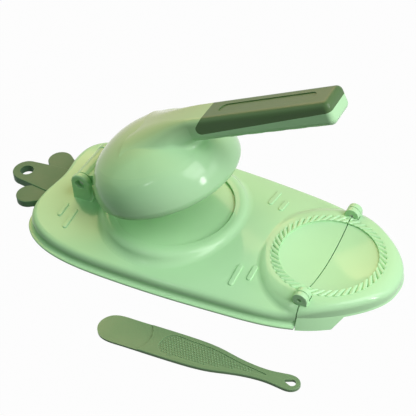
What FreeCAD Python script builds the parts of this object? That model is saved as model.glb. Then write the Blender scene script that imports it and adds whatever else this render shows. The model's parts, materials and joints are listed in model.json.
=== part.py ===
"""Dumpling maker shaped like a radish: a base with a press seat, a domed press lid on a hinge,
a folding half mould at the tail, a leaf to hang it by, and a loose spatula.

Millimetres, +Z up, +X from the leaf to the tail. The origin is on the table, under the middle
of the press seat. The lid is drawn shut and then turned open about its hinge.
"""
import FreeCAD, Part
import math
import os

Vec = FreeCAD.Vector
UP = Vec(0, 0, 1)
TO_REAR = Vec(0, 1, 0)

# Walls, play and cuts shared by every piece
wall = 2.4
overrun = 2.0
run_gap = 0.4
pin_gap = 0.05
screw_gap = 0.05
slot_gap = 0.15
edge_soft = 0.6
turn_start_deg = 60.0
full_turn_deg = 360.0
edge_samples = 5

# Base: outline, crowned top, brim and stand
nose_reach = 117.0
tail_reach = 199.0
half_width = 79.5
brim_width = 4.0
brim_thick = 2.2
brim_round = 2.6
brim_edge_round = 0.8
stand_off = 0.6
crown_top = 22.5
crown_radius_across = 286.0
crown_radius_along = 2070.0
edge_round = 5.5
corner_spare = 0.6
foot_blend = 9.0
# half outline of the brim, from the tail tip to the nose, as shares of the reaches and the half width
outline_shares = [
    (1.0, 0.0), (0.985, 0.208), (0.94, 0.39), (0.86, 0.582), (0.764, 0.745), (0.678, 0.838),
    (0.402, 0.946), (0.151, 0.987), (-0.171, 1.0), (-0.479, 0.981), (-0.735, 0.899),
    (-0.889, 0.774), (-0.979, 0.604), (-1.0, 0.428), (-0.987, 0.214), (-0.966, 0.0),
]
outline_steps = 48
outline_spans = 8

# Press seat and its ring
seat_radius = 49.5
seat_depth = 2.2
seat_edge_round = 0.8
ring_crest = 4.0
ring_height = 2.1
ring_shoulder = 8.5

# Dumpling mould, half in the base and half in the tail flap
mould_radius = 46.0
mould_rim_drop = 1.0
mould_rim_width = 1.5
mould_edge_round = 0.5
mould_shoulder = 18.0
mould_foot_blend = 6.0
tail_land = 16.8
tooth_band = 6.0
tooth_drop = 1.3
tooth_radius = 1.9
tooth_rise = 1.9
tooth_slant_deg = 48.0
tooth_end_gap = 0.4
teeth_per_half = 24
cup_depth = 7.0
seam_gap = 0.9
lift_height = 8.0
lift_run = 6.5
lift_start = 25.0
flare_height = 9.5

# Tail hinge
tail_axis_lift = 1.5
ear_radius = 6.0
knuckle_width = 4.6
knuckle_inset = 0.4
tail_pin_radius = 1.7
tail_pin_recess = 2.4
tail_pin_end_gap = 0.3

# Lid hinge on the base
hinge_setback = 13.5
hinge_height = 36.3
lug_radius = 8.8
lug_thick = 6.0
lug_inner = 17.5
lug_counterbore = 4.4
lug_counterbore_depth = 3.6
lug_soft = 1.5
lid_pin_radius = 2.6

# Press lid
lid_open_deg = 18.8
dome_radius = 61.5
dome_height = 48.8
dome_belly = 5.8
dome_shoulder = 33.0
dome_rim_inset = 3.0
dome_turn_share = 0.27
dome_rim_lift = 4.6
barrel_radius = 8.2
arm_depth = 9.0
plate_radius = 48.4
plate_gap = 1.4
plate_thick = 2.4
plate_flange_gap = 0.5
plate_post_radius = 3.4
plate_screws = 4

# Handle
handle_width = 28.0
handle_thick = 19.0
handle_length = 110.0
handle_rise_deg = 5.5
handle_start = 60.5
handle_lift = 11.5
handle_corner = 5.0
handle_end_round = 4.5
cover_height = 12.8
cover_end_height = 7.4
cover_slant = 14.0
cover_corner = 4.0
cover_wall = 2.2
panel_length = 84.0
panel_width = 11.0
panel_depth = 0.7
panel_front = 11.0
grip_count = 5
grip_depth = 1.7
grip_radius = 16.0
grip_first = 16.0
grip_pitch = 18.0
handle_screw_count = 3
handle_screw_first = 16.0
handle_screw_pitch = 36.0
neck_back = 74.0
neck_flare_width = 92.0
neck_flare_height = 38.0
neck_flare_corner = 32.0
neck_drop = 6.4
neck_blend = 4.0
# neck sections from the handle into the dome, as shares of the way back, the widening, the drop of the
# top, the deepening and the rounding
neck_shares = [
    (0, 0, 0, 0, 0), (0.3, 0.156, 0.094, 0.316, 0.259), (0.633, 0.5625, 0.406, 0.684, 0.778), (1, 1, 1, 1, 1),
]

# Leaf hanger
leaf_top = 8.8
leaf_thick = 6.8
leaf_step = 0.8
leaf_reach = 161.0
leaf_tip_radius = 12.5
leaf_root_radius = 16.0
leaf_root_back = 2.0
leaf_hang_radius = 6.0
side_lobe_radius = 10.8
side_lobe_root = 11.0
side_lobe_out = 25.0
side_lobe_run = 22.0
side_lobe_root_out = 9.0
tongue_length = 13.0
tongue_half_width = 15.0
leaf_screw_out = 8.0

# Screws
screw_radius = 1.5
screw_head_radius = 2.7
screw_head_height = 2.0
screw_bite = 7.0
boss_wall = 2.2

# Foot pads
foot_radius = 7.0
foot_height = 5.0
foot_round = 1.0
foot_places_shares = [(-0.72, 0.62), (-0.72, -0.62), (0.52, 0.62), (0.52, -0.62)]

# Raised marks on the base
mark_rise = 1.0
mark_soft = 0.8
mark_width = 4.2
mark_long = 21.0
mark_short = 15.0
mark_step = 11.0
mark_stagger = 6.5
mark_places_shares = [(-0.719, -0.57), (-0.719, 0.555), (0.395, -0.585), (0.345, 0.585)]

# Filling spatula
spatula_length = 163.0
spatula_half_width = 13.2
spatula_thick = 2.6
spatula_end_half_width = 8.0
spatula_turn_deg = 3.2
spatula_middle_x = 81.2
spatula_gap = 25.3
spatula_blade = 44.0
spatula_blade_round = 20.0
spatula_blade_drop = 0.7
spatula_panel_drop = 0.7
spatula_margin = 3.6
spatula_panel_start = 52.0
spatula_panel_end = 137.0
spatula_panel_shares = (0.36, 0.8)
spatula_hole_radius = 3.0
spatula_hole_tip = 0.9
spatula_hole_reach = 3.4
# half outline from the blade tip to the hanging end, as shares of the length and the half width
spatula_shares = [
    (0.0, 0.0), (0.01, 0.45), (0.036, 0.8), (0.08, 0.98), (0.14, 1.0), (0.28, 1.0), (0.36, 1.0), (0.44, 0.99),
    (0.52, 0.95), (0.6, 0.83), (0.68, 0.61), (0.765, 0.44), (0.85, 0.4), (0.92, 0.5), (0.962, 0.51),
    (0.99, 0.31), (1.0, 0.0),
]

# Places that follow from the sizes above
ring_top = crown_top + ring_height
seat_floor = ring_top - seat_depth
seam_x = tail_reach - tail_land - mould_radius
rim_top = crown_top - mould_rim_drop
band_top = rim_top - tooth_drop
tail_axis_z = rim_top + tail_axis_lift
hinge_x = -(dome_radius + hinge_setback)
rim_z = ring_top + dome_rim_lift
belly_z = rim_z + dome_belly
plate_bottom = seat_floor + plate_gap
tray_depth = crown_top + ring_height + overrun


def solid_of(shape):
    """The single solid inside a boolean result."""
    clean = shape.removeSplitter()
    return clean.Solids[0] if len(clean.Solids) == 1 else clean


def box(x0, x1, y0, y1, z0, z1):
    return Part.makeBox(x1 - x0, y1 - y0, z1 - z0, Vec(x0, y0, z0))


def upright(x, y, z0, z1, radius):
    return Part.makeCylinder(radius, z1 - z0, Vec(x, y, z0), UP)


def crossbar(x, z, y0, y1, radius):
    """A cylinder along Y."""
    return Part.makeCylinder(radius, y1 - y0, Vec(x, y0, z), TO_REAR)


def smooth_loop(points):
    curve = Part.BSplineCurve()
    curve.interpolate(points, PeriodicFlag=True)
    return curve


def loop_face(curve):
    """The face inside a closed curve, with its border cut into a few spans."""
    first, last = curve.FirstParameter, curve.LastParameter
    ends = [first + (last - first) * number / outline_spans for number in range(outline_spans + 1)]
    return Part.Face(Part.Wire([curve.toShape(a, b) for a, b in zip(ends, ends[1:])]))


def mirrored_points(half):
    """A closed list of points from half an outline whose first and last points lie on the X axis."""
    return half + [Vec(p.x, -p.y, p.z) for p in reversed(half[1:-1])]


def polygon_face(points):
    return Part.Face(Part.makePolygon(points + points[:1]))


def turned(points_and_arcs, x=0):
    """Revolve a closed chain of edges in the XZ plane about the upright line through x."""
    face = Part.Face(Part.Wire(Part.__sortEdges__(points_and_arcs)))
    face.rotate(Vec(0, 0, 0), UP, turn_start_deg)
    body = face.revolve(Vec(0, 0, 0), UP, full_turn_deg)
    body.translate(Vec(x, 0, 0))
    return body


def line(a, b):
    return Part.LineSegment(Vec(a[0], 0, a[1]), Vec(b[0], 0, b[1])).toShape()


def arc(a, b, c):
    return Part.Arc(Vec(a[0], 0, a[1]), Vec(b[0], 0, b[1]), Vec(c[0], 0, c[1])).toShape()


def quarter_point(centre, radius):
    """The middle of the quarter arc that runs from the top of a circle to its outer side."""
    reach = radius * math.sqrt(0.5)
    return (centre[0] + reach, centre[1] + reach)


def tapered_face(a, radius_a, b, radius_b):
    """The plan shape of a belt round two circles."""
    gap = b.sub(a)
    heading = math.atan2(gap.y, gap.x)
    lean = math.acos((radius_a - radius_b) / gap.Length)

    def on(centre, radius, angle):
        return centre.add(Vec(radius * math.cos(angle), radius * math.sin(angle), 0))
    a_left, a_right = on(a, radius_a, heading + lean), on(a, radius_a, heading - lean)
    b_left, b_right = on(b, radius_b, heading + lean), on(b, radius_b, heading - lean)
    edges = [
        Part.Arc(a_left, on(a, radius_a, heading + math.pi), a_right).toShape(),
        Part.LineSegment(a_right, b_right).toShape(),
        Part.Arc(b_right, on(b, radius_b, heading), b_left).toShape(),
        Part.LineSegment(b_left, a_left).toShape(),
    ]
    return Part.Face(Part.Wire(edges))


def brim_curve():
    half = []
    for x_share, y_share in outline_shares:
        reach = tail_reach if x_share > 0 else nose_reach
        half.append(Vec(x_share * reach, y_share * half_width, 0))
    return smooth_loop(mirrored_points(half))


def outline_face(inset, z):
    """The base outline drawn in by an inset, as a level face."""
    curve = brim_curve()
    first, last = curve.FirstParameter, curve.LastParameter
    points = []
    for step in range(outline_steps):
        at = first + (last - first) * step / outline_steps
        ahead = curve.tangent(at)[0]
        points.append(curve.value(at).add(Vec(-ahead.y, ahead.x, 0).multiply(inset)))
    face = loop_face(smooth_loop(points))
    face.translate(Vec(0, 0, z))
    return face


def outline_prism(inset, z0, z1):
    """The base outline drawn in by an inset, as an upright prism."""
    return outline_face(inset, z0).extrude(Vec(0, 0, z1 - z0))


def crown_block(rise):
    """All the space under the crowned top, raised or lowered by rise."""
    across = crown_radius_across
    reach = half_width + brim_width
    top = crown_top + rise
    centre_z = top - across
    side_z = centre_z + math.sqrt(across ** 2 - reach ** 2)
    far_z = top - crown_radius_along
    low_z = -tray_depth
    edges = [
        Part.Arc(Vec(0, -reach, side_z), Vec(0, 0, top), Vec(0, reach, side_z)).toShape(),
        Part.LineSegment(Vec(0, reach, side_z), Vec(0, reach, low_z)).toShape(),
        Part.LineSegment(Vec(0, reach, low_z), Vec(0, -reach, low_z)).toShape(),
        Part.LineSegment(Vec(0, -reach, low_z), Vec(0, -reach, side_z)).toShape(),
    ]
    face = Part.Face(Part.Wire(edges))
    swing = math.degrees(2 * tail_reach / crown_radius_along)
    far_axis = Vec(0, 0, far_z)
    face.rotate(far_axis, TO_REAR, -swing)
    return face.revolve(far_axis, TO_REAR, 2 * swing)


def crown_z(x, y):
    """Height of the crowned top over a point of the plan."""
    along = crown_radius_along - math.sqrt(crown_radius_along ** 2 - x ** 2)
    across = crown_radius_across - math.sqrt(crown_radius_across ** 2 - y ** 2)
    return crown_top - along - across


def crowned_form(inset, rise, bottom):
    """A prism of the outline under the crown."""
    return outline_prism(inset, bottom, tray_depth).common(crown_block(rise))


def raised_disc(x, radius, shoulder_radius, top):
    """A disc that stands up from the crown, with a rounded shoulder all round."""
    low = stand_off + brim_thick
    outer = radius + shoulder_radius
    centre = (radius, top - shoulder_radius)
    return turned([
        line((0, low), (0, top)),
        line((0, top), (radius, top)),
        arc((radius, top), quarter_point(centre, shoulder_radius), (outer, centre[1])),
        line((outer, centre[1]), (outer, low)),
        line((outer, low), (0, low)),
    ], x)


def cup_space(grow):
    """The hollow of the mould, tooth band and cup, grown outwards for its backing."""
    rim = mould_radius - mould_rim_width + grow
    cup = mould_radius - mould_rim_width - tooth_band + grow
    band = band_top - grow
    floor = band_top - cup_depth - grow
    ball = (cup ** 2 + (band - floor) ** 2) / (2 * (band - floor))
    half = math.asin(cup / ball) / 2
    middle = (ball * math.sin(half), floor + ball * (1 - math.cos(half)))
    above = rim_top + overrun
    return turned([
        line((0, floor), (0, above)),
        line((0, above), (rim, above)),
        line((rim, above), (rim, band)),
        line((rim, band), (cup, band)),
        arc((cup, band), middle, (0, floor)),
    ], seam_x)


def teeth():
    """Slanted ridges all round the band of the mould."""
    outer = mould_radius - mould_rim_width
    middle = outer - tooth_band / 2
    reach = 2 * tooth_band
    axis_z = band_top + tooth_rise - tooth_radius
    band = upright(seam_x, 0, band_top - wall / 2, rim_top + tooth_rise, outer + mould_rim_width / 2)
    ring = band.cut(upright(seam_x, 0, 0, rim_top + 2 * tooth_rise, outer - tooth_band + tooth_end_gap))
    ridges = []
    for number in range(2 * teeth_per_half):
        angle = math.pi * (number + 0.5) / teeth_per_half
        heading = angle - math.radians(tooth_slant_deg)
        along = Vec(math.cos(heading), math.sin(heading), 0)
        centre = Vec(seam_x + middle * math.cos(angle), middle * math.sin(angle), axis_z)
        start = centre.sub(Vec(along).multiply(reach / 2))
        ridges.append(ring.common(Part.makeCylinder(tooth_radius, reach, start, along)))
    return ridges


def marks():
    """Pairs of raised dashes on the crown, a long one and a short one nearer the middle line."""
    bars = []
    for x_share, y_share in mark_places_shares:
        lengths = (mark_long, mark_short)
        reach = tail_reach
        if x_share < 0:
            lengths = (mark_short, mark_long)
            reach = nose_reach
        inward = math.copysign(mark_stagger, -y_share)
        for number, length in enumerate(lengths):
            x = x_share * reach + number * mark_step
            y = y_share * half_width + (inward if length == mark_short else 0)
            run = (length - mark_width) / 2
            face = tapered_face(Vec(x, y - run, 0), mark_width / 2, Vec(x, y + run, 0), mark_width / 2)
            bars.append(face.extrude(Vec(0, 0, tray_depth)))
    low = crown_block(-wall / 2)
    raised = []
    for bar in bars:
        mark = crown_block(mark_rise).common(bar)
        rims = [e for e in mark.Edges if e.BoundBox.ZMin > crown_top / 2]
        raised.append(mark.makeFillet(mark_soft, rims).cut(low))
    return raised


def shell_cavity():
    """The hollow under the top, leaving the wall, the seam walls and the backing of the mould."""
    below = stand_off - overrun
    inset = brim_width + wall + corner_spare
    hollow = crowned_form(inset, -wall, below)
    skirt = raised_disc(seam_x, mould_radius, mould_shoulder - wall, rim_top - wall)
    under_seat = upright(0, 0, below, seat_floor - wall, seat_radius + ring_crest)
    under_mould = upright(seam_x, 0, below, band_top - wall, mould_radius)
    hollow = hollow.fuse([under_seat, under_mould, skirt.common(outline_prism(inset, below, tray_depth))])
    seam_half = seam_gap / 2 + wall
    seam_slab = box(seam_x - seam_half, seam_x + seam_half, -half_width, half_width, below, tray_depth)
    near = mould_radius - wall
    far = mould_radius + knuckle_inset + 2 * (knuckle_width + run_gap) + wall
    backing = [crossbar(seam_x, tail_axis_z, y0, y1, ear_radius + run_gap + wall)
               for y0, y1 in ((near, far), (-far, -near))]
    return hollow.cut([cup_space(wall), seam_slab] + backing)


def on_level(edge, level):
    bounds = edge.BoundBox
    return abs(bounds.ZMin - level) < edge_soft / 2 and bounds.ZLength < edge_soft / 2


def at_foot(edge, x, radius, shoulder):
    """True for the edge where a raised disc round x meets the crown."""
    if edge.BoundBox.ZMax > rim_top - edge_soft or edge.BoundBox.ZMin < stand_off + brim_thick:
        return False
    places = edge.discretize(edge_samples)
    return all(radius < math.hypot(p.x - x, p.y) < radius + shoulder + edge_soft for p in places)


def near_outline(edge):
    """True for the inner corner where the wall stands on the brim."""
    return on_level(edge, stand_off + brim_thick) and corner_loop.distToShape(edge)[0] < edge_soft


def rim_edges(form, x, radius, level):
    """The level round edges of one radius about the upright line through x."""
    found = []
    for edge in form.Edges:
        place = edge.valueAt((edge.FirstParameter + edge.LastParameter) / 2)
        if on_level(edge, level) and abs(math.hypot(place.x - x, place.y) - radius) < edge_soft / 2:
            found.append(edge)
    return found


def brim():
    """The flat brim round the foot of the base, with soft edges."""
    prism = outline_prism(0, stand_off, stand_off + brim_thick)
    edges = [e for e in prism.Edges if e.BoundBox.ZLength < edge_soft]
    return prism.makeFillet(brim_edge_round, edges)


def flare():
    """The sloped wall round the foot of the flap."""
    low = outline_face(0, stand_off).OuterWire
    high = outline_face(brim_width, stand_off + flare_height).OuterWire
    return Part.makeLoft([low, high], True, True)


def topped_form():
    """The outline under the crown and the mould's skirt, with a soft foot and a rounded outer edge."""
    block = crown_block(0).fuse(raised_disc(seam_x, mould_radius, mould_shoulder, rim_top)).removeSplitter()
    feet = [e for e in block.Edges if at_foot(e, seam_x, mould_radius, mould_shoulder)]
    prism = outline_prism(brim_width, stand_off, tray_depth)
    form = prism.common(block.makeFillet(mould_foot_blend, feet))
    walls = Part.makeCompound([face for face in prism.Faces if face.BoundBox.ZLength > edge_round])
    rims = []
    for edge in form.Edges:
        middle = Part.Vertex(edge.valueAt((edge.FirstParameter + edge.LastParameter) / 2))
        bounds = edge.BoundBox
        if bounds.ZMin > stand_off + edge_soft and bounds.ZLength < 2 * edge_round:
            if middle.distToShape(walls)[0] < pin_gap:
                rims.append(edge)
    return form.makeFillet(edge_round, rims)


def shell_half(side):
    """Half of the moulded shell: side -1 is the base tray, side 1 the tail flap."""
    face_x = seam_x + side * seam_gap / 2
    far_x = side * 2 * tail_reach
    keep = box(min(face_x, far_x), max(face_x, far_x), -tail_reach, tail_reach, -tray_depth, 2 * tray_depth)
    form = topped_form()
    if side < 0:
        form = form.fuse(raised_disc(0, seat_radius + ring_crest, ring_shoulder, ring_top)).removeSplitter()
        feet = [e for e in form.Edges if at_foot(e, 0, seat_radius + ring_crest, ring_shoulder)]
        form = form.makeFillet(foot_blend, feet)
        form = form.fuse(brim()).removeSplitter()
        form = form.makeFillet(brim_round, [e for e in form.Edges if near_outline(e)])
    else:
        form = form.fuse(flare()).removeSplitter()
    form = form.common(keep).cut(shell_cavity()).cut(cup_space(0))
    form = form.makeFillet(mould_edge_round, rim_edges(form, seam_x, mould_radius - mould_rim_width, rim_top))
    if side < 0:
        form = form.cut(upright(0, 0, seat_floor, ring_top + overrun, seat_radius))
        form = form.makeFillet(seat_edge_round, rim_edges(form, 0, seat_radius, ring_top))
    else:
        form = form.cut(finger_lift())
    form = form.cut(ear_room(side))
    ridges = [ridge.common(keep) for ridge in teeth()]
    added = [ridge for ridge in ridges if ridge.Solids]
    added += [ear(side, y0, y1) for y0, y1 in ear_spans(side < 0)]
    if side < 0:
        added += marks()
    return form.fuse(added).removeSplitter()


def finger_lift():
    """The room for a finger under the tip of the tail."""
    x0 = seam_x + lift_start
    far = 2 * tail_reach
    below = stand_off - overrun * lift_height / lift_run
    profile = polygon_face([
        Vec(x0 - overrun, -half_width, below),
        Vec(x0 + lift_run, -half_width, stand_off + lift_height),
        Vec(far, -half_width, stand_off + lift_height),
        Vec(far, -half_width, below),
    ])
    return profile.extrude(Vec(0, 2 * half_width, 0))


def ear(side, y0, y1):
    """Bored hinge ear round the tail axis, on a web that stands on its own half of the shell."""
    face_x = seam_x + side * seam_gap / 2
    back_x = seam_x + side * ear_radius
    low = crown_z(seam_x, max(abs(y0), abs(y1))) - wall / 2
    web = box(min(face_x, back_x), max(face_x, back_x), y0, y1, low, tail_axis_z)
    body = crossbar(seam_x, tail_axis_z, y0, y1, ear_radius).fuse(web).removeSplitter()
    sides = [e for e in body.Edges if e.BoundBox.YLength < edge_soft and e.BoundBox.ZMax > low + edge_soft]
    bore = crossbar(seam_x, tail_axis_z, y0 - overrun, y1 + overrun, tail_pin_radius + pin_gap)
    return body.makeFillet(edge_soft, sides).cut(bore)


def ear_spans(inner):
    """The Y spans of the two inner or the two outer ears of the tail hinge."""
    near = mould_radius + knuckle_inset
    if not inner:
        near += knuckle_width + run_gap
    return [(near, near + knuckle_width), (-near - knuckle_width, -near)]


def tail_pin_spans():
    inner = mould_radius + knuckle_inset + tail_pin_end_gap
    outer = mould_radius + knuckle_inset + 2 * knuckle_width + run_gap - tail_pin_recess
    return {"front": (-outer, -inner), "rear": (inner, outer)}


def ear_room(side):
    """What is cut from half of the shell for the tail pins and for the other half's ears."""
    inner = mould_radius + knuckle_inset - slot_gap
    reach = inner + 2 * knuckle_width + overrun
    room = [crossbar(seam_x, tail_axis_z, y0, y1, tail_pin_radius + pin_gap)
            for y0, y1 in ((inner, reach), (-reach, -inner))]
    for y0, y1 in ear_spans(side > 0):
        room.append(crossbar(seam_x, tail_axis_z, y0 - run_gap, y1 + run_gap, ear_radius + run_gap))
    return room


def base_tray():
    body = shell_half(-1)
    low = crown_z(hinge_x, lug_inner + lug_thick) - wall / 2
    added = []
    cuts = []
    for y0 in (lug_inner, -lug_inner - lug_thick):
        y1 = y0 + lug_thick
        post = box(hinge_x - lug_radius, hinge_x + lug_radius, y0, y1, low, hinge_height)
        lug = post.fuse(crossbar(hinge_x, hinge_height, y0, y1, lug_radius)).removeSplitter()
        faces = [e for e in lug.Edges if e.BoundBox.YLength < edge_soft and e.BoundBox.ZMax > low + edge_soft]
        added.append(lug.makeFillet(lug_soft, faces))
        outer = y1 if y0 > 0 else y0
        inward = -lug_counterbore_depth if y0 > 0 else lug_counterbore_depth
        cuts.append(crossbar(hinge_x, hinge_height, y0 - overrun, y1 + overrun, lid_pin_radius + pin_gap))
        cuts.append(crossbar(hinge_x, hinge_height, min(outer, outer + inward), max(outer, outer + inward),
                             lug_counterbore))
    for x, y in foot_places():
        socket = upright(x, y, stand_off, crown_top, foot_radius + boss_wall)
        added.append(socket.common(crown_block(-wall / 2)))
        cuts.append(upright(x, y, -overrun, foot_height, foot_radius + screw_gap))
    for x, y in leaf_screw_places():
        added.append(upright(x, y, leaf_top + slot_gap, crown_z(x, y) - wall / 2, screw_radius + boss_wall))
        cuts.append(upright(x, y, leaf_top, leaf_top + slot_gap + screw_bite, screw_radius + screw_gap))
    body = body.fuse(added)
    slot = grown_leaf(slot_gap)
    return solid_of(body.cut(cuts + [slot]))


def foot_places():
    return [(x * (tail_reach if x > 0 else nose_reach), y * half_width) for x, y in foot_places_shares]


def foot_pads():
    """Four rubber pads, one solid each."""
    pads = {}
    for (x, y), place in zip(foot_places(), ("nose_rear", "nose_front", "tail_rear", "tail_front")):
        pad = upright(x, y, 0, foot_height, foot_radius)
        low = [e for e in pad.Edges if on_level(e, 0)]
        pads["foot_pad_" + place] = pad.makeFillet(foot_round, low)
    return pads


def tail_flap():
    return solid_of(shell_half(1))


def tail_pins():
    pins = {}
    for place, (y0, y1) in tail_pin_spans().items():
        pins["tail_hinge_pin_" + place] = crossbar(seam_x, tail_axis_z, y0, y1, tail_pin_radius)
    return pins


def lid_pin():
    half = lug_inner + lug_thick - lug_counterbore_depth
    return crossbar(hinge_x, hinge_height, -half, half, lid_pin_radius)


def leaf_plan(grow):
    """Faces of the leaf in plan: middle lobe, two side lobes and the tongue that goes into the base."""
    tip_x = -(leaf_reach - leaf_tip_radius)
    root_x = -(nose_reach + leaf_root_back)
    tip, root = Vec(tip_x, 0, 0), Vec(root_x, 0, 0)
    lobes = [(tapered_face(tip, leaf_tip_radius + grow, root, leaf_root_radius + grow), 0)]
    for side in (1, -1):
        outer = Vec(root_x - side_lobe_run / 2, side * side_lobe_out, 0)
        inner = Vec(root_x + side_lobe_run / 2, side * side_lobe_root_out, 0)
        lobes.append((tapered_face(outer, side_lobe_radius + grow, inner, side_lobe_root + grow), leaf_step))
    tongue_x = root_x + side_lobe_run / 2
    half = tongue_half_width + grow
    tongue = polygon_face([
        Vec(tongue_x, -half, 0),
        Vec(tongue_x + tongue_length + grow, -half, 0),
        Vec(tongue_x + tongue_length + grow, half, 0),
        Vec(tongue_x, half, 0),
    ])
    return lobes + [(tongue, 0)]


def leaf_solids(grow):
    bottom = leaf_top - leaf_thick - grow
    solids = []
    for face, step in leaf_plan(grow):
        face.translate(Vec(0, 0, bottom))
        solids.append(face.extrude(Vec(0, 0, leaf_top + grow - step - bottom)))
    return solids


def grown_leaf(grow):
    """The room that the leaf takes in the nose of the base."""
    first, *others = leaf_solids(grow)
    return first.fuse(others)


def leaf_screw_places():
    x = -(nose_reach + leaf_root_back) + side_lobe_run / 2 + tongue_length / 2
    return [(x, leaf_screw_out), (x, -leaf_screw_out)]


def leaf_screw_seat():
    """Height of the seat of the sunk screw heads in the leaf."""
    return leaf_top - leaf_thick + screw_head_height


def leaf_hanger():
    lobes = []
    for solid in leaf_solids(0):
        rims = [e for e in solid.Edges if on_level(e, solid.BoundBox.ZMax)]
        lobes.append(solid.makeFillet(edge_soft, rims))
    leaf = lobes[0].fuse(lobes[1:]).removeSplitter()
    hole_x = -(leaf_reach - leaf_tip_radius)
    cuts = [upright(hole_x, 0, -overrun, leaf_top + overrun, leaf_hang_radius)]
    for x, y in leaf_screw_places():
        cuts.append(upright(x, y, -overrun, leaf_top + overrun, screw_radius + screw_gap))
        cuts.append(upright(x, y, -overrun, leaf_screw_seat(), screw_head_radius + slot_gap))
    return solid_of(leaf.cut(cuts))


def screw(x, y, z, bite):
    """A pan-head screw with its head under z and its shank above it."""
    head = upright(x, y, z - screw_head_height, z, screw_head_radius)
    head = head.makeFillet(edge_soft, [e for e in head.Edges if on_level(e, z - screw_head_height)])
    return head.fuse(upright(x, y, z, z + bite, screw_radius)).removeSplitter()


def leaf_screws():
    seat = leaf_screw_seat()
    bite = leaf_top - seat + screw_bite - slot_gap
    return Part.makeCompound([screw(x, y, seat, bite) for x, y in leaf_screw_places()])


def opened(shape):
    """Turn a piece of the shut lid to its open place."""
    turned_shape = shape.copy()
    turned_shape.rotate(Vec(hinge_x, 0, hinge_height), TO_REAR, -lid_open_deg)
    return turned_shape


def dome_profile(inset, low):
    """Half section of the dome, drawn in by an inset: a round crown, a tighter shoulder and a tucked rim."""
    height = dome_height - dome_belly
    side = dome_radius - dome_shoulder
    crown = (side ** 2 + height ** 2 - dome_shoulder ** 2) / (2 * (height - dome_shoulder))
    lean = math.atan2(side, crown - height)
    small, large = dome_shoulder - inset, crown - inset

    def on_shoulder(angle):
        return (side + small * math.sin(angle), belly_z + small * math.cos(angle))

    def on_crown(angle):
        return (large * math.sin(angle), belly_z + height - crown + large * math.cos(angle))
    rim = dome_radius - dome_rim_inset - inset
    middle = (dome_radius - inset - dome_rim_inset * dome_turn_share, (belly_z + rim_z) / 2)
    edges = [
        arc(on_crown(0), on_crown(lean / 2), on_crown(lean)),
        arc(on_shoulder(lean), on_shoulder((lean + math.pi / 2) / 2), on_shoulder(math.pi / 2)),
        arc(on_shoulder(math.pi / 2), middle, (rim, rim_z)),
        line(on_crown(0), (0, low)),
        line((0, low), (rim, low)),
    ]
    if low < rim_z:
        edges.append(line((rim, rim_z), (rim, low)))
    return edges


def handle_frame(shape):
    """Move a shape from the handle's own axes, X along its top, to the shut lid."""
    shape.rotate(Vec(0, 0, 0), TO_REAR, -handle_rise_deg)
    shape.translate(Vec(handle_start, 0, rim_z + dome_height + handle_lift))
    return shape


def rounded_section(x, width, height, top, corner, foot):
    """A rounded rectangle across the handle, at a place along it, with its top and foot corners."""
    half = width / 2
    low = top - height
    inner, toe = half - corner, half - foot
    pull = corner * (1 - math.sqrt(0.5))
    tuck = foot * (1 - math.sqrt(0.5))
    y_low, y_high = -half, half
    points = [
        Vec(x, -inner, top), Vec(x, inner, top), Vec(x, y_high, top - corner), Vec(x, y_high, low + foot),
        Vec(x, toe, low), Vec(x, -toe, low), Vec(x, y_low, low + foot), Vec(x, y_low, top - corner),
    ]
    bends = [
        None, Vec(x, y_high - pull, top - pull), None, Vec(x, y_high - tuck, low + tuck),
        None, Vec(x, y_low + tuck, low + tuck), None, Vec(x, y_low + pull, top - pull),
    ]
    edges = []
    for number, bend in enumerate(bends):
        a, b = points[number], points[(number + 1) % len(points)]
        edges.append(Part.LineSegment(a, b).toShape() if bend is None else Part.Arc(a, bend, b).toShape())
    return Part.Wire(edges)


def handle_body(inset):
    """The whole grip in its own axes, from behind the slanted joint to its rounded end."""
    section = rounded_section(-cover_slant, handle_width - 2 * inset, handle_thick - 2 * inset, -inset,
                              handle_corner - inset, handle_corner - inset)
    grip = Part.Face(section).extrude(Vec(handle_length + cover_slant - inset, 0, 0))
    end = [e for e in grip.Edges if e.BoundBox.XMin > handle_length - inset - edge_soft]
    return grip.makeFillet(handle_end_round - inset, end)


def parting_z(x):
    """Height of the parting line between cover and trough, at a place along the handle."""
    run = (x + cover_slant) / (handle_length + cover_slant)
    return -cover_height - (cover_end_height - cover_height) * run


def cover_space(drop):
    """The room of the handle cover: over the parting line, behind the slanted front."""
    side = handle_width
    far = handle_length + overrun
    profile = polygon_face([
        Vec(overrun * cover_slant / cover_height, -side, overrun),
        Vec(-cover_slant * (cover_height + drop) / cover_height, -side, parting_z(-cover_slant) - drop),
        Vec(far, -side, parting_z(far) - drop),
        Vec(far, -side, overrun),
    ])
    return profile.extrude(Vec(0, 2 * side, 0))


def cover_room():
    """The room of the cover with its lower front corner rounded."""
    space = cover_space(0)
    front = [e for e in space.Edges if e.BoundBox.XMax < -cover_slant + edge_soft]
    return space.makeFillet(cover_corner, front)


def grip_cuts():
    """Shallow finger hollows across the underside of the handle."""
    cuts = []
    for number in range(grip_count):
        x = grip_first + number * grip_pitch
        z = -handle_thick - grip_radius + grip_depth
        cuts.append(crossbar(x, z, -handle_width, handle_width, grip_radius))
    return cuts


def handle_screw_places():
    return [handle_screw_first + number * handle_screw_pitch for number in range(handle_screw_count)]


def neck():
    """The flared neck from the handle into the dome, in the handle's own axes."""
    sections = []
    for back, wider, lower, deeper, rounder in neck_shares:
        sections.append(rounded_section(
            -cover_slant - back * (neck_back - cover_slant),
            handle_width + wider * (neck_flare_width - handle_width),
            handle_thick + deeper * (neck_flare_height - handle_thick),
            -lower * neck_drop,
            handle_corner + rounder * (neck_flare_corner - handle_corner),
            handle_corner))
    return Part.makeLoft(sections, True, False)


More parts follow.
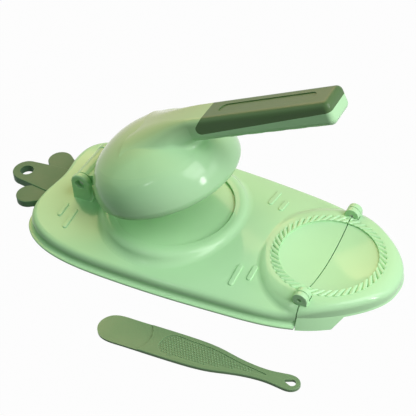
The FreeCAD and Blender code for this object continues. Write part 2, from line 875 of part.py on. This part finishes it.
def neck_edges(shell):
    """The edges where the free-form neck leaves the round crown of the dome."""
    found = []
    for edge in shell.Edges:
        kinds = {face.Surface.TypeId for face in shell.Faces if any(edge.isSame(e) for e in face.Edges)}
        if kinds == {"Part::GeomBSplineSurface", "Part::GeomSphere"}:
            found.append(edge)
    return found


def handle_lower():
    """The trough under the cover, with its finger hollows, end wall and screw tubes."""
    grip = handle_body(0).cut(cover_room()).cut(grip_cuts())
    room = handle_body(cover_wall).common(box(cover_wall, handle_length, -handle_width, handle_width,
                                              -handle_thick, overrun))
    trough = grip.cut(room.cut(grip_backing()))
    tubes = [upright(x, 0, -handle_thick + cover_wall, 0, screw_head_radius + boss_wall).cut(cover_room())
             for x in handle_screw_places()]
    trough = trough.fuse(tubes)
    cuts = []
    for x in handle_screw_places():
        cuts.append(upright(x, 0, -2 * handle_thick, screw_seat(x), screw_head_radius + slot_gap))
        cuts.append(upright(x, 0, -handle_thick, overrun, screw_radius + screw_gap))
    return trough.cut(cuts)


def grip_backing():
    """Keeps the wall whole behind the finger hollows."""
    low = -handle_thick
    first = grip_first - grip_pitch / 2
    last = grip_first + (grip_count - 0.5) * grip_pitch
    return box(first, last, -handle_width, handle_width, low, low + cover_wall + grip_depth)


def screw_seat(x):
    """Height of a screw head's seat in the handle's own axes."""
    return parting_z(x) - cover_wall


def screw_roof():
    """Height where the screw bores end, under the panel of the cover."""
    return -panel_depth - cover_wall


def press_dome():
    shell = turned(dome_profile(0, rim_z))
    shell = shell.fuse([handle_frame(neck()), handle_frame(handle_lower())])
    shell = shell.makeFillet(neck_blend, neck_edges(shell))
    half = lug_inner - run_gap
    barrel = crossbar(hinge_x, hinge_height, -half, half, barrel_radius)
    arm = box(hinge_x, -(dome_radius - wall), -half, half, hinge_height - arm_depth / 2,
              hinge_height + arm_depth / 2)
    shell = shell.fuse([barrel, arm]).cut(turned(dome_profile(wall, rim_z - overrun)))
    posts = []
    bores = [crossbar(hinge_x, hinge_height, -lug_inner, lug_inner, lid_pin_radius + pin_gap)]
    for x, y in plate_screw_places():
        posts.append(upright(x, y, flange_top(), rim_z + dome_height, plate_post_radius))
        bores.append(upright(x, y, flange_top(), flange_top() + screw_bite, screw_radius + screw_gap))
    posts = [post.common(turned(dome_profile(wall / 2, rim_z))) for post in posts]
    return solid_of(shell.fuse(posts).cut(bores))


def flange_top():
    return rim_z + slot_gap + plate_thick


def plate_screw_places():
    rim = dome_radius - dome_rim_inset - wall - plate_flange_gap
    radius = (plate_radius + rim) / 2
    places = []
    for number in range(plate_screws):
        angle = 2 * math.pi * (number + 0.5) / plate_screws
        places.append((radius * math.cos(angle), radius * math.sin(angle)))
    return places


def press_plate():
    """Dish that presses the dough, with a flange up inside the rim of the dome."""
    rim = dome_radius - dome_rim_inset - wall - plate_flange_gap
    boss = upright(0, 0, plate_bottom, flange_top(), plate_radius)
    boss = boss.makeFillet(edge_soft, [e for e in boss.Edges if on_level(e, plate_bottom)])
    plate = boss.fuse(upright(0, 0, flange_top() - plate_thick, flange_top(), rim))
    cuts = [upright(0, 0, plate_bottom + plate_thick, flange_top() + overrun, plate_radius - plate_thick)]
    for x, y in plate_screw_places():
        cuts.append(upright(x, y, rim_z - overrun, flange_top() + overrun, screw_radius + screw_gap))
    return solid_of(plate.cut(cuts))


def press_plate_screws():
    under = flange_top() - plate_thick
    return Part.makeCompound([screw(x, y, under, plate_thick + screw_bite - slot_gap)
                              for x, y in plate_screw_places()])


def handle_cover():
    cover = handle_body(0).common(cover_room())
    front = cover_wall * math.hypot(cover_slant, cover_height) / cover_height
    room = handle_body(cover_wall).common(cover_space(overrun).translated(Vec(front, 0, 0)))
    cover = cover.cut(room)
    posts = [upright(x, 0, -handle_thick, -cover_wall / 2, screw_radius + boss_wall).common(cover_room())
             for x in handle_screw_places()]
    cover = cover.fuse(posts)
    cuts = [upright(x, 0, -handle_thick, screw_roof(), screw_radius + screw_gap)
            for x in handle_screw_places()]
    half = (panel_length - panel_width) / 2
    middle = panel_front + panel_length / 2
    panel = tapered_face(Vec(middle - half, 0, -panel_depth), panel_width / 2,
                         Vec(middle + half, 0, -panel_depth), panel_width / 2)
    cuts.append(panel.extrude(Vec(0, 0, panel_depth + overrun)))
    return solid_of(handle_frame(cover.cut(cuts)))


def handle_screws():
    screws = []
    for x in handle_screw_places():
        seat = screw_seat(x)
        screws.append(handle_frame(screw(x, 0, seat, screw_roof() - slot_gap - seat)))
    return Part.makeCompound(screws)


def spatula_plan(margin, first_share, last_share):
    """Half outline of the spatula between two shares of its length, drawn in by a margin."""
    half = []
    for x_share, y_share in spatula_shares:
        if first_share <= x_share <= last_share:
            half.append(Vec(x_share * spatula_length, max(0, y_share * spatula_half_width - margin), 0))
    return half


def filling_spatula():
    """Flat spreader: thin rounded blade, sunk oval grip panel, waist and a hang hole at the end."""
    body = loop_face(smooth_loop(mirrored_points(spatula_plan(0, 0, 1)))).extrude(Vec(0, 0, spatula_thick))
    rims = [e for e in body.Edges if on_level(e, spatula_thick)]
    body = body.makeFillet(edge_soft, rims)
    blade_top = spatula_thick - spatula_blade_drop
    reach = 2 * spatula_half_width
    middle = spatula_blade - spatula_blade_round
    above = spatula_thick + overrun
    blade = upright(middle, 0, blade_top, above, spatula_blade_round)
    blade = blade.fuse(box(-reach, middle, -reach, reach, blade_top, above))
    panel = [Vec(spatula_panel_start, 0, 0)] + spatula_plan(spatula_margin, *spatula_panel_shares)
    panel.append(Vec(spatula_panel_end, 0, 0))
    panel_face = loop_face(smooth_loop(mirrored_points(panel)))
    panel_face.translate(Vec(0, 0, spatula_thick - spatula_panel_drop))
    end_x = spatula_length - spatula_end_half_width
    hole = tapered_face(Vec(end_x + spatula_hole_reach / 2, 0, -overrun), spatula_hole_radius,
                        Vec(end_x - spatula_hole_reach, 0, -overrun), spatula_hole_tip)
    cuts = [blade, panel_face.extrude(Vec(0, 0, spatula_thick))]
    cuts.append(hole.extrude(Vec(0, 0, spatula_thick + 2 * overrun)))
    body = solid_of(body.cut(cuts))
    body.translate(Vec(-spatula_length / 2, 0, 0))
    body.rotate(Vec(0, 0, 0), UP, spatula_turn_deg)
    body.translate(Vec(spatula_middle_x, -(half_width + spatula_gap + spatula_half_width), 0))
    return body


def build():
    """Every sub-part by its name, at rest."""
    parts = {
        "base_tray": base_tray(),
        "tail_flap": tail_flap(),
        "leaf_hanger": leaf_hanger(),
        "leaf_screws": leaf_screws(),
        "lid_hinge_pin": lid_pin(),
        "press_dome": opened(press_dome()),
        "press_plate": opened(press_plate()),
        "press_plate_screws": opened(press_plate_screws()),
        "handle_cover": opened(handle_cover()),
        "handle_screws": opened(handle_screws()),
        "filling_spatula": filling_spatula(),
    }
    parts.update(tail_pins())
    parts.update(foot_pads())
    return parts


corner_loop = outline_prism(brim_width, stand_off, stand_off + brim_thick).Wires[0]

if __name__ == "__main__":
    os.makedirs("parts", exist_ok=True)
    for name, shape in build().items():
        print(name, shape.isValid(), len(shape.Solids), round(shape.Volume))
        shape.exportStep("parts/" + name + ".step")
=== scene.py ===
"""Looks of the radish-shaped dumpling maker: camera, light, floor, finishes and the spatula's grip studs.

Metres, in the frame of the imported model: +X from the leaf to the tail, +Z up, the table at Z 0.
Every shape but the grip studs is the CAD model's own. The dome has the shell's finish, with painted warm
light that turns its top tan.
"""
import json
import math

import bmesh
import bpy
from mathutils import Matrix, Vector
from mathutils.bvhtree import BVHTree


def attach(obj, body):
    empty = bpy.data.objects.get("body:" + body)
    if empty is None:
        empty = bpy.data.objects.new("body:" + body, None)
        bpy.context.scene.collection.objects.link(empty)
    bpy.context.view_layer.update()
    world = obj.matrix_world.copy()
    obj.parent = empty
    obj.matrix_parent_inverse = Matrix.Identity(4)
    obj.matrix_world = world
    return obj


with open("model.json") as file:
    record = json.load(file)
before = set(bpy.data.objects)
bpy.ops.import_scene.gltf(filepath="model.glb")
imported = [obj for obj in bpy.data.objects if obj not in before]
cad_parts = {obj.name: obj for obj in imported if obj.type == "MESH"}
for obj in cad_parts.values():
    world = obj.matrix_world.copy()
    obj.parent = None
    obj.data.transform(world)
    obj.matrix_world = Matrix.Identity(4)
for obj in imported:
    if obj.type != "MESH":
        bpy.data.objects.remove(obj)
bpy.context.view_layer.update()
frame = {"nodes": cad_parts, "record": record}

scene = bpy.context.scene
scene.view_settings.view_transform = "Standard"

white = (1, 1, 1, 1)
black = (0, 0, 0, 1)

# Camera of the photograph, fitted to its outlines
camera_target = Vector((0.07758, -0.08097, 0.11418))
camera_distance = 0.77838
camera_azimuth_deg = 29.76
camera_elevation_deg = 41.83
camera_roll_deg = -3.57
sensor_width = 36.0
lens_length = 97.32

# Floor and light all round
floor_drop = 0.0003
floor_half = 6.0
floor_white_share = 0.98
floor_colour = (0.05, 0.05, 0.05, 1)
world_strength = 0.09
world_colour = (0.5, 1.0, 0.55, 1)

# Soft boxes: name, azimuth and elevation in degrees, width, height, power, colour
soft_box_distance = 1.4
soft_boxes = [
    ("window_box", 84, 19, 0.19, 0.42, 6.4, (1.0, 0.97, 1.0)),
    ("right_box", 100, 33, 0.9, 0.9, 5, (1.0, 0.92, 1.0)),
    ("high_box", 91, 53, 0.9, 0.9, 14.5, (1.0, 0.97, 1.0)),
    ("fill_box", -68, 24, 0.9, 0.9, 3, (0.6, 1.0, 0.66)),
    ("back_box", 226, 34, 0.9, 0.9, 10.5, (1.0, 0.66, 0.34)),
    ("strip_box", -30, 43, 0.04, 0.36, 0.9, (1.0, 1.0, 1.0)),
]

# Finishes by material slot: colour, roughness, strength of the grain, gloss, lightness of the edges
# (painted edge highlight along with rubbed wear)
finishes = {
    "shell_green": ((0.445, 0.745, 0.42), 0.13, 0.03, 0.24, 1.08),
    "plate_green": ((0.56, 0.80, 0.50), 0.35, 0.05, 0.35, 1.08),
    "leaf_green": ((0.083, 0.178, 0.088), 0.42, 0.1, 0.2, 1.6),
    "cover_green": ((0.079, 0.155, 0.056), 0.34, 0.06, 0.25, 1.5),
    "spatula_green": ((0.155, 0.268, 0.132), 0.38, 0.06, 0.25, 1.35),
    "steel": ((0.6, 0.6, 0.6), 0.3, 0.02, 0.5, 1.2),
    "rubber": ((0.36, 0.40, 0.35), 0.7, 0.15, 0.2, 1.1),
}
metal_slots = ("steel",)
refraction = 1.5

# Noise of the finishes: scale and detail, and the span of its values that the blends use
flow_noise = (9, 3)
gloss_noise = (60, 4)
grain_noise = (1400, 2)
noise_span = (0.3, 0.7)
flow_tints = (0.95, 1.04)
gloss_shares = (0.85, 1.2)
grain_height = 0.0002

# Lighter edges, a painted edge highlight along with rubbed wear: how far they reach, and the cosines
# between which they fade out
edge_reach = 0.0009
edge_samples = 4
edge_span = (0.82, 0.995)

# Painted warm light on the top of the dome, a tan blend: where the blend starts, its heading and reach, and
# the shares between which it rises
painted_light_middle = Vector((-0.01, 0, 0.075))
painted_light_heading = Vector((-0.52, 0.26, 0.81))
painted_light_reach = 0.062
painted_light_span = (0.08, 0.55)
painted_light_tint = (0.43, 0.52, 0.25, 1)

# Grip studs: the spatula's place, the sunk panel along and across it, and the studs
spatula_middle = Vector((0.0812, -0.118, 0))
spatula_turn_deg = 3.2
grip_floor = 0.0019
grip_floor_tolerance = 0.0001
grip_start, grip_end = -0.0295, 0.0555
grip_half_width = 0.011
stud_pitch = 0.0023
stud_row_pitch = 0.002
stud_radius = 0.0008
stud_height = 0.0005
stud_clear = 1.35
stud_sides = 10
stud_levels = 3
probe_height = 0.1


def direction(azimuth_deg, elevation_deg):
    """Unit vector from the object to a place seen at that azimuth and elevation."""
    azimuth, elevation = math.radians(azimuth_deg), math.radians(elevation_deg)
    return Vector((math.sin(azimuth) * math.cos(elevation),
                   -math.cos(azimuth) * math.cos(elevation),
                   math.sin(elevation)))


def make_camera():
    """The photograph's camera, a little rolled about its own axis."""
    data = bpy.data.cameras.new("camera")
    data.sensor_width = sensor_width
    data.lens = lens_length
    camera = bpy.data.objects.new("camera", data)
    scene.collection.objects.link(camera)
    back = direction(camera_azimuth_deg, camera_elevation_deg)
    turn = (-back).to_track_quat("-Z", "Y").to_matrix().to_4x4()
    roll = Matrix.Rotation(math.radians(camera_roll_deg), 4, "Z")
    camera.matrix_world = Matrix.Translation(camera_target + back * camera_distance) @ turn @ roll
    scene.camera = camera


def make_soft_box(name, azimuth_deg, elevation_deg, width, height, power, colour):
    """An area light that looks at the camera's target."""
    data = bpy.data.lights.new(name, "AREA")
    data.shape = "RECTANGLE"
    data.size = width
    data.size_y = height
    data.energy = power
    data.color = colour
    lamp = bpy.data.objects.new(name, data)
    scene.collection.objects.link(lamp)
    away = direction(azimuth_deg, elevation_deg)
    lamp.location = camera_target + away * soft_box_distance
    lamp.rotation_euler = (-away).to_track_quat("-Z", "Y").to_euler()


def seen_directly(tree):
    """1 for rays from the camera, a reflection or a see-through surface, else 0."""
    path = tree.nodes.new("ShaderNodeLightPath")
    total = path.outputs["Is Camera Ray"]
    for kind in ("Is Glossy Ray", "Is Transmission Ray"):
        larger = tree.nodes.new("ShaderNodeMath")
        larger.operation = "MAXIMUM"
        tree.links.new(total, larger.inputs[0])
        tree.links.new(path.outputs[kind], larger.inputs[1])
        total = larger.outputs[0]
    return total


def mix_shaders(tree, factor, first, second, output_kind):
    """Output that goes from the first shader to the second as the factor goes from 0 to 1."""
    mix = tree.nodes.new("ShaderNodeMixShader")
    out = tree.nodes.new(output_kind)
    tree.links.new(factor, mix.inputs["Fac"])
    tree.links.new(first.outputs[0], mix.inputs[1])
    tree.links.new(second.outputs[0], mix.inputs[2])
    tree.links.new(mix.outputs[0], out.inputs["Surface"])


def make_world():
    """Faint green light all round, and plain white where the camera or a reflection sees past the floor."""
    world = bpy.data.worlds.new("studio")
    scene.world = world
    world.use_nodes = True
    tree = world.node_tree
    tree.nodes.clear()
    light = tree.nodes.new("ShaderNodeBackground")
    light.inputs["Color"].default_value = world_colour
    light.inputs["Strength"].default_value = world_strength
    plain = tree.nodes.new("ShaderNodeBackground")
    plain.inputs["Color"].default_value = white
    mix_shaders(tree, seen_directly(tree), light, plain, "ShaderNodeOutputWorld")


def make_floor():
    """A floor that is nearly white to the eye, with a trace of shadow, and throws little light back."""
    mesh = bpy.data.meshes.new("floor")
    corners = [(-floor_half, -floor_half), (floor_half, -floor_half),
               (floor_half, floor_half), (-floor_half, floor_half)]
    mesh.from_pydata([(x, y, -floor_drop) for x, y in corners], [], [(0, 1, 2, 3)])
    floor = bpy.data.objects.new("floor", mesh)
    scene.collection.objects.link(floor)
    material = bpy.data.materials.new("floor_white")
    material.use_nodes = True
    tree = material.node_tree
    tree.nodes.clear()
    matt = tree.nodes.new("ShaderNodeBsdfDiffuse")
    matt.inputs["Color"].default_value = floor_colour
    plain = tree.nodes.new("ShaderNodeEmission")
    share = tree.nodes.new("ShaderNodeMath")
    share.operation = "MULTIPLY"
    share.inputs[1].default_value = floor_white_share
    tree.links.new(seen_directly(tree), share.inputs[0])
    mix_shaders(tree, share.outputs[0], matt, plain, "ShaderNodeOutputMaterial")
    mesh.materials.append(material)


def noise(tree, scale, detail):
    """A noise texture in the object's own metres."""
    place = tree.nodes.new("ShaderNodeTexCoord")
    texture = tree.nodes.new("ShaderNodeTexNoise")
    texture.inputs["Scale"].default_value = scale
    texture.inputs["Detail"].default_value = detail
    tree.links.new(place.outputs["Object"], texture.inputs["Vector"])
    return texture.outputs["Fac"]


def ramp(tree, factor, span, low, high):
    """Goes from a low to a high colour or grey level as the factor crosses the span."""
    node = tree.nodes.new("ShaderNodeValToRGB")
    for element, position, colour in zip(node.color_ramp.elements, span, (low, high)):
        element.position = position
        element.color = colour
    tree.links.new(factor, node.inputs["Fac"])
    return node.outputs["Color"]


def edge_mask(tree):
    """0 on open faces, rising to 1 at the edges."""
    bevel = tree.nodes.new("ShaderNodeBevel")
    bevel.samples = edge_samples
    bevel.inputs["Radius"].default_value = edge_reach
    face = tree.nodes.new("ShaderNodeNewGeometry")
    along = tree.nodes.new("ShaderNodeVectorMath")
    along.operation = "DOT_PRODUCT"
    tree.links.new(bevel.outputs["Normal"], along.inputs[0])
    tree.links.new(face.outputs["Normal"], along.inputs[1])
    return ramp(tree, along.outputs["Value"], edge_span, white, black)


def mix_colour(tree, shader, factor, first, second):
    """Gives the shader a colour that goes from a socket's to a plain one as the factor goes from 0 to 1."""
    mix = tree.nodes.new("ShaderNodeMixRGB")
    mix.inputs["Color2"].default_value = second
    tree.links.new(factor, mix.inputs["Fac"])
    tree.links.new(first, mix.inputs["Color1"])
    tree.links.new(mix.outputs["Color"], shader.inputs["Base Color"])


def shades(colour, scales):
    """A colour made darker or lighter by each scale, opaque."""
    return [[min(1.0, scale * c) for c in colour] + [1] for scale in scales]


def make_finish(name, colour, rough, grain, gloss, edge_highlight_and_wear):
    """A moulded finish: slight flow tint, lighter edges that paint an edge highlight along with rubbed
    wear, uneven gloss and a fine grain.
    """
    material = bpy.data.materials.new(name)
    material.use_nodes = True
    tree = material.node_tree
    shader = tree.nodes["Principled BSDF"]
    tint = ramp(tree, noise(tree, *flow_noise), noise_span, *shades(colour, flow_tints))
    # Edges lighter: painted edge highlight along with rubbed wear.
    mix_colour(tree, shader, edge_mask(tree), tint, shades(colour, [edge_highlight_and_wear])[0])
    uneven = ramp(tree, noise(tree, *gloss_noise), noise_span, *shades([rough] * 3, gloss_shares))
    tree.links.new(uneven, shader.inputs["Roughness"])
    bump = tree.nodes.new("ShaderNodeBump")
    bump.inputs["Strength"].default_value = grain
    bump.inputs["Distance"].default_value = grain_height
    tree.links.new(noise(tree, *grain_noise), bump.inputs["Height"])
    tree.links.new(bump.outputs["Normal"], shader.inputs["Normal"])
    shader.inputs["IOR"].default_value = refraction
    shader.inputs["Specular IOR Level"].default_value = gloss
    if name in metal_slots:
        shader.inputs["Metallic"].default_value = 1
    return material


def paint_warm_light_top(material):
    """Paint warm light on the top of the dome, on its leaf side: a blend from the mint of the shell to tan.
    """
    tree = material.node_tree
    shader = tree.nodes["Principled BSDF"]
    plain = shader.inputs["Base Color"].links[0].from_socket
    place = tree.nodes.new("ShaderNodeTexCoord")
    offset = tree.nodes.new("ShaderNodeVectorMath")
    offset.operation = "SUBTRACT"
    offset.inputs[1].default_value = painted_light_middle
    along = tree.nodes.new("ShaderNodeVectorMath")
    along.operation = "DOT_PRODUCT"
    along.inputs[1].default_value = painted_light_heading / painted_light_reach
    tree.links.new(place.outputs["Object"], offset.inputs[0])
    tree.links.new(offset.outputs["Vector"], along.inputs[0])
    share = ramp(tree, along.outputs["Value"], painted_light_span, black, white)
    # Painted warm light: tan mixed over the shell's tint towards the top of the dome.
    mix_colour(tree, shader, share, plain, painted_light_tint)
    return material


def dress():
    """Give every node its finish, and return the finishes by slot."""
    made = {name: make_finish(name, *values) for name, values in finishes.items()}
    for part in frame["record"]["subparts"]:
        node = frame["nodes"][part["node"]]
        finish = made[part["material_slot"]]
        # The dome gets a copy of the shell finish with painted warm light on its top.
        if part["node"] == "press_dome":
            finish = paint_warm_light_top(finish.copy())
        node.data.materials.clear()
        node.data.materials.append(finish)
    return made


def stud_circle(radius, height):
    """Points round a level circle, one for each side of a stud."""
    angles = [2 * math.pi * i / stud_sides for i in range(stud_sides)]
    return [Vector((radius * math.cos(a), radius * math.sin(a), height)) for a in angles]


def grip_places():
    """Middles of the studs: staggered rows wherever a whole stud stands clear on the panel's floor."""
    spatula = frame["nodes"]["filling_spatula"]
    surface = BVHTree.FromObject(spatula, bpy.context.evaluated_depsgraph_get())
    turn = Matrix.Rotation(math.radians(spatula_turn_deg), 3, "Z")
    down = Vector((0, 0, -1))
    probes = [Vector((0, 0, probe_height))] + stud_circle(stud_radius * stud_clear, probe_height)
    rows = int(2 * grip_half_width / stud_row_pitch)
    columns = int((grip_end - grip_start) / stud_pitch)
    places = []
    for row in range(rows + 1):
        y = -grip_half_width + row * stud_row_pitch
        for column in range(columns):
            x = grip_start + (column + 0.5 * (row % 2)) * stud_pitch
            middle = spatula_middle + turn @ Vector((x, y, 0))
            hits = [surface.ray_cast(middle + probe, down)[0] for probe in probes]
            if all(hit and abs(hit.z - grip_floor) < grip_floor_tolerance for hit in hits):
                places.append(Vector((middle.x, middle.y, grip_floor)))
    return places


def grip_studs(finish):
    """Low rounded studs that give the spatula's panel its grip."""
    sheet = bmesh.new()
    for place in grip_places():
        loops = []
        for level in range(stud_levels):
            angle = 0.5 * math.pi * level / stud_levels
            circle = stud_circle(stud_radius * math.cos(angle), stud_height * math.sin(angle))
            loops.append([sheet.verts.new(place + point) for point in circle])
        top = sheet.verts.new(place + Vector((0, 0, stud_height)))
        for lower, upper in zip(loops, loops[1:]):
            for i in range(stud_sides):
                j = (i + 1) % stud_sides
                sheet.faces.new((lower[i], lower[j], upper[j], upper[i]))
        for i in range(stud_sides):
            sheet.faces.new((loops[-1][i], loops[-1][(i + 1) % stud_sides], top))
        sheet.faces.new(list(reversed(loops[0])))
    mesh = bpy.data.meshes.new("spatula_grip_studs")
    sheet.to_mesh(mesh)
    sheet.free()
    mesh.shade_smooth()
    mesh.materials.append(finish)
    studs = bpy.data.objects.new("spatula_grip_studs", mesh)
    scene.collection.objects.link(studs)
    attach(studs, "spatula")


make_camera()
for soft_box in soft_boxes:
    make_soft_box(*soft_box)
make_world()
make_floor()
finish_of = dress()
grip_studs(finish_of["spatula_green"])
